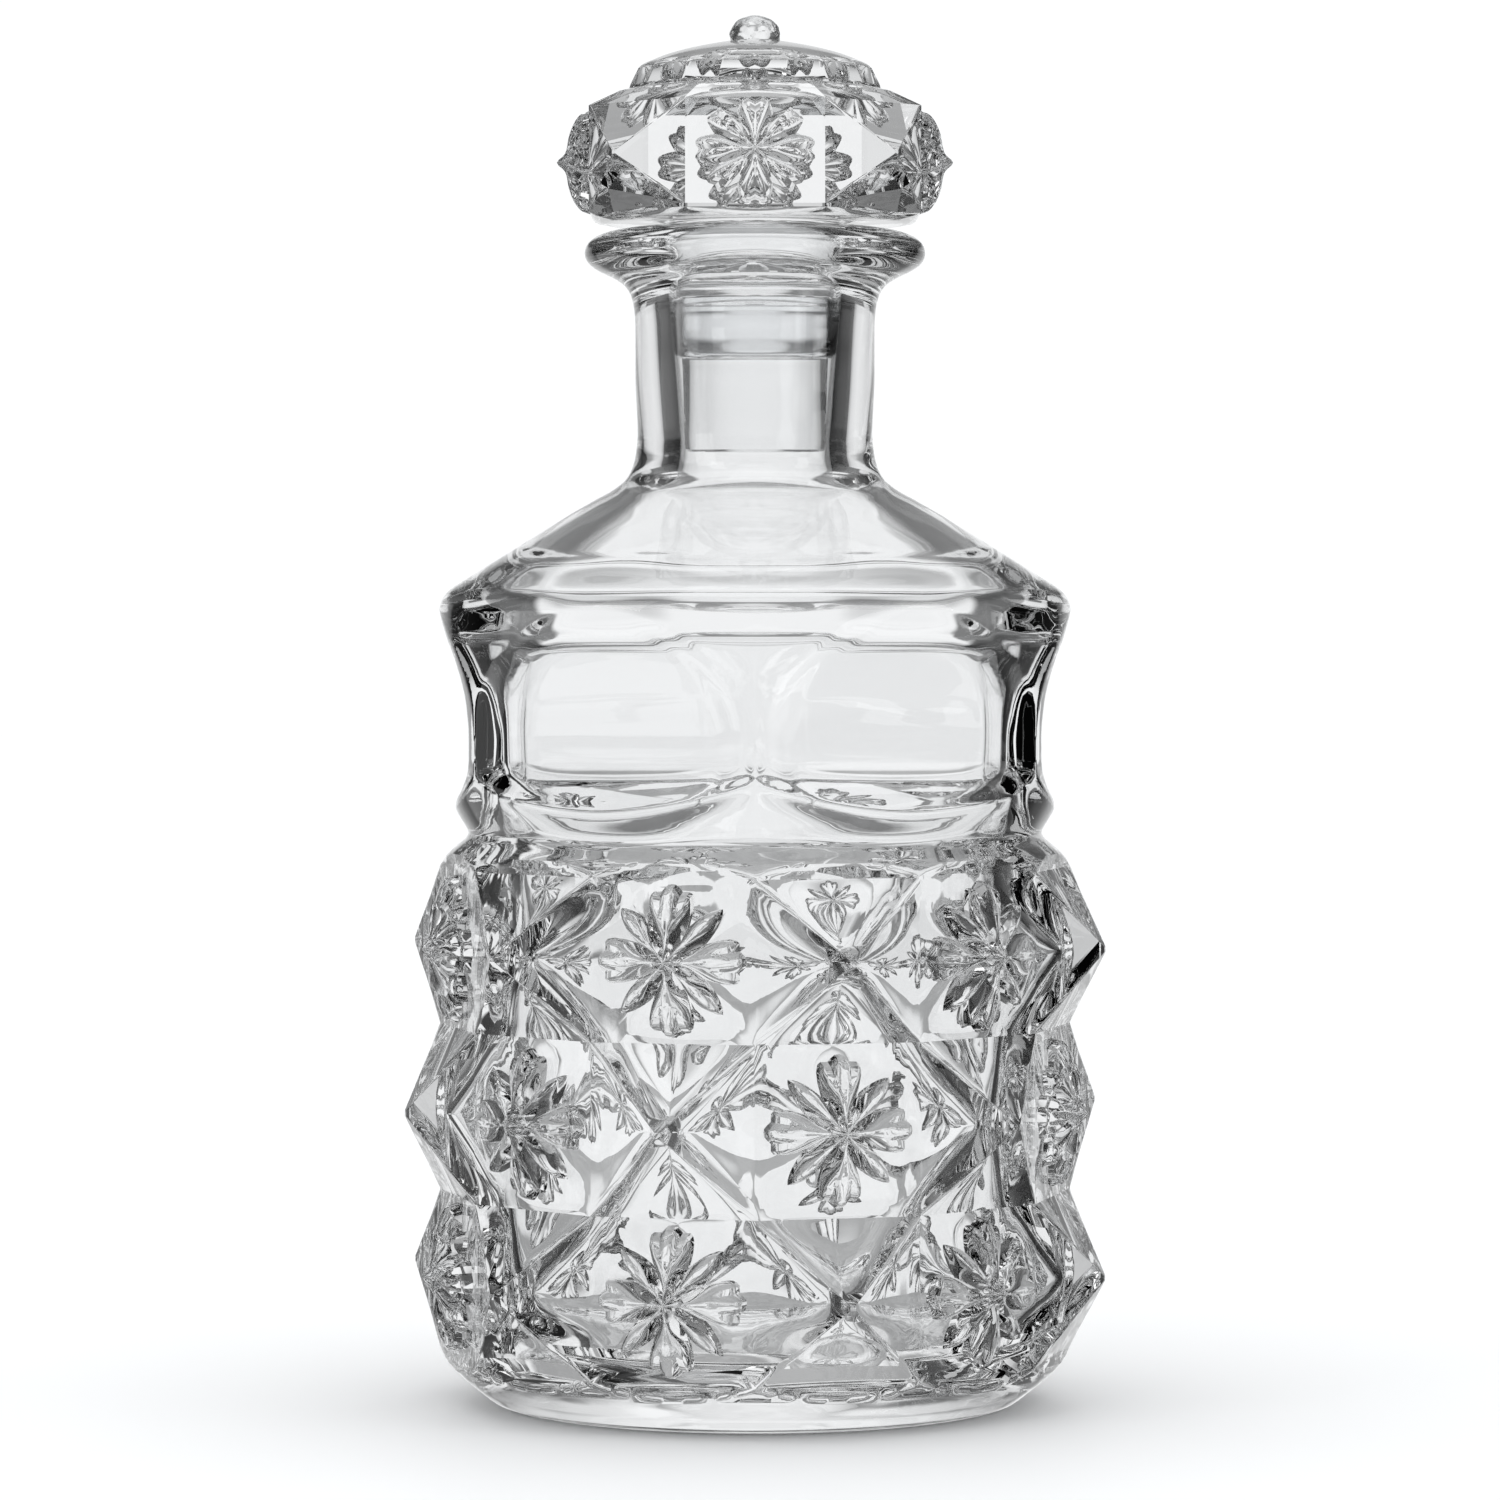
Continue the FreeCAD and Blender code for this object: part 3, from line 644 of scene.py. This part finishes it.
# brightness of the studio seen from the table, by angle from straight behind the object
PANEL_LIGHT = [(0, 0.95), (12, 0.95), (20, 0.86), (28, 0.76), (33, 0.52), (37, 0.09), (46, 0.05), (70, 0.02), (100, 0.02), (135, 0.03), (155, 0.30), (180, 0.35)]
GAP = [(0, 0.22), (30, 0.18), (45, 0.10), (70, 0.03), (110, 0.02), (150, 0.06), (180, 0.08)]
OVERHEAD = [(0, 1.0), (40, 0.95), (60, 0.60), (90, 0.25), (130, 0.20), (180, 0.45)]
TABLE = [(0, 0.42), (32, 0.36), (44, 0.08), (85, 0.05), (110, 0.20), (140, 0.50), (180, 0.65)]
AMBIENT = 1.22

world = bpy.data.worlds.new("studio")
scene.world = world
world.cycles.sampling_method = "NONE"
world.use_nodes = True
nt = world.node_tree
bg = nt.nodes["Background"]
tc = nt.nodes.new("ShaderNodeTexCoord")
sep = nt.nodes.new("ShaderNodeSeparateXYZ")
nt.links.new(tc.outputs["Generated"], sep.inputs["Vector"])


def ramp(source, lo_, hi_, a, b):
    n = nt.nodes.new("ShaderNodeMapRange")
    n.interpolation_type = "SMOOTHSTEP"
    n.inputs["From Min"].default_value = lo_
    n.inputs["From Max"].default_value = hi_
    n.inputs["To Min"].default_value = a
    n.inputs["To Max"].default_value = b
    nt.links.new(source, n.inputs["Value"])
    return n.outputs["Result"]


def math_node(op, a, b):
    n = nt.nodes.new("ShaderNodeMath")
    n.operation = op
    for i, x in enumerate((a, b)):
        if isinstance(x, (int, float)):
            n.inputs[i].default_value = x
        else:
            nt.links.new(x, n.inputs[i])
    return n.outputs[0]


# bright field: a white panel behind, grey beside it, a large soft light overhead and a grey table top
flat_len = math_node("POWER", math_node("ADD", math_node("POWER", sep.outputs["X"], 2.0), math_node("POWER", sep.outputs["Y"], 2.0)), 0.5)
flat_len = math_node("MAXIMUM", flat_len, 0.0001)
cos_back = math_node("DIVIDE", sep.outputs["Y"], flat_len)      # 1 straight behind, 0 at the sides, -1 in front
cos_left = math_node("MULTIPLY", math_node("DIVIDE", sep.outputs["X"], flat_len), -1.0)
turn = math_node("ADD", math_node("MULTIPLY", cos_back, 0.5), 0.5)


def round_about(stops):
    """Brightness against the angle from straight behind, in degrees."""
    n = nt.nodes.new("ShaderNodeValToRGB")
    n.color_ramp.interpolation = "EASE"
    pts = sorted((0.5 + 0.5 * math.cos(math.radians(d)), v) for d, v in stops)
    while len(n.color_ramp.elements) < len(pts):
        n.color_ramp.elements.new(0.5)
    for e, (p, v) in zip(n.color_ramp.elements, pts):
        e.position = p
    for e, (p, v) in zip(n.color_ramp.elements, pts):
        e.color = (v, v, v, 1.0)
    nt.links.new(turn, n.inputs["Fac"])
    return n.outputs["Color"]


def blend_at(low_deg, high_deg, a, b):
    """a below, b above the given elevations."""
    t = ramp(sep.outputs["Z"], math.sin(math.radians(low_deg)), math.sin(math.radians(high_deg)), 0.0, 1.0)
    n = nt.nodes.new("ShaderNodeMix")
    n.data_type = "FLOAT"
    nt.links.new(t, n.inputs[0])
    nt.links.new(a, n.inputs[2])
    if isinstance(b, float):
        n.inputs[3].default_value = b
    else:
        nt.links.new(b, n.inputs[3])
    return n.outputs[0]


table_top = round_about(TABLE)
panel = round_about(PANEL_LIGHT)
gap = round_about(GAP)
overhead = round_about(OVERHEAD)
seen = blend_at(-19.0, -11.0, table_top, panel)
seen = blend_at(7.0, 10.5, seen, gap)
seen = blend_at(35.0, 41.0, seen, overhead)
seen = blend_at(50.0, 62.0, seen, 0.95)


def card(azimuth_deg, elevation_deg, inner_deg, outer_deg, value):
    """A round soft light card; the azimuth runs from straight behind (+Y) towards +X."""
    a, e = math.radians(azimuth_deg), math.radians(elevation_deg)
    n = nt.nodes.new("ShaderNodeVectorMath")
    n.operation = "DOT_PRODUCT"
    nt.links.new(tc.outputs["Generated"], n.inputs[0])
    n.inputs[1].default_value = (math.sin(a) * math.cos(e), math.cos(a) * math.cos(e), math.sin(e))
    return ramp(n.outputs["Value"], math.cos(math.radians(outer_deg)), math.cos(math.radians(inner_deg)), 0.0, value)


for direction in ((-45.0, -27.0, 13.0, 19.0, 0.92), (135.0, -16.0, 12.0, 17.0, 0.92), (-90.0, -9.0, 14.0, 19.0, 0.92), (0.0, 14.0, 7.0, 15.0, 0.85), (0.0, -90.0, 26.0, 36.0, 0.75)):
    seen = math_node("MAXIMUM", seen, card(*direction))
left = math_node("MULTIPLY", ramp(cos_left, 0.965, 0.985, 0.0, 0.98), ramp(math_node("ABSOLUTE", sep.outputs["Z"], 0.0), 0.10, 0.17, 1.0, 0.0))
seen = math_node("MAXIMUM", seen, left)
path = nt.nodes.new("ShaderNodeLightPath")
mixed = nt.nodes.new("ShaderNodeMix")
mixed.data_type = "FLOAT"
nt.links.new(path.outputs["Is Diffuse Ray"], mixed.inputs[0])
nt.links.new(seen, mixed.inputs[2])
mixed.inputs[3].default_value = AMBIENT
plain = nt.nodes.new("ShaderNodeMix")      # seen directly, the backdrop is one plain white, whatever the angle
plain.data_type = "FLOAT"
nt.links.new(path.outputs["Is Camera Ray"], plain.inputs[0])
nt.links.new(mixed.outputs[0], plain.inputs[2])
plain.inputs[3].default_value = 1.05
nt.links.new(plain.outputs[0], bg.inputs["Strength"])
bg.inputs["Color"].default_value = (0.985, 0.993, 1.0, 1)


def softbox(name, loc, target, size, watts):
    ld = bpy.data.lights.new(name, "AREA")
    ld.shape = "RECTANGLE"
    ld.size, ld.size_y = size
    ld.energy = watts
    o = bpy.data.objects.new(name, ld)
    o.location = loc
    o.rotation_euler = (Vector(target) - Vector(loc)).to_track_quat("-Z", "Y").to_euler()
    scene.collection.objects.link(o)
    return o


softbox("key_left", (-1.1, -0.9, 0.75), (0, 0, 0.12), (0.5, 0.9), 2.0)
softbox("fill_right", (1.25, -0.6, 0.55), (0, 0, 0.12), (0.4, 0.9), 1.2)

cam = bpy.data.objects.new("camera", bpy.data.cameras.new("camera"))
scene.collection.objects.link(cam)
scene.camera = cam
cam.data.sensor_width = 36.0
cam.data.lens = 140.06
cam.location = (-0.0009, -1.055, 0.1414)
cam.rotation_euler = (math.radians(90.0 - 1.296), 0, 0)
cam.data.clip_start, cam.data.clip_end = 0.05, 50.0

scene.view_settings.view_transform = "Standard"
scene.cycles.max_bounces = 24
scene.cycles.transmission_bounces = 20
scene.cycles.glossy_bounces = 7
scene.cycles.diffuse_bounces = 3
scene.cycles.caustics_reflective = True
scene.cycles.caustics_refractive = True
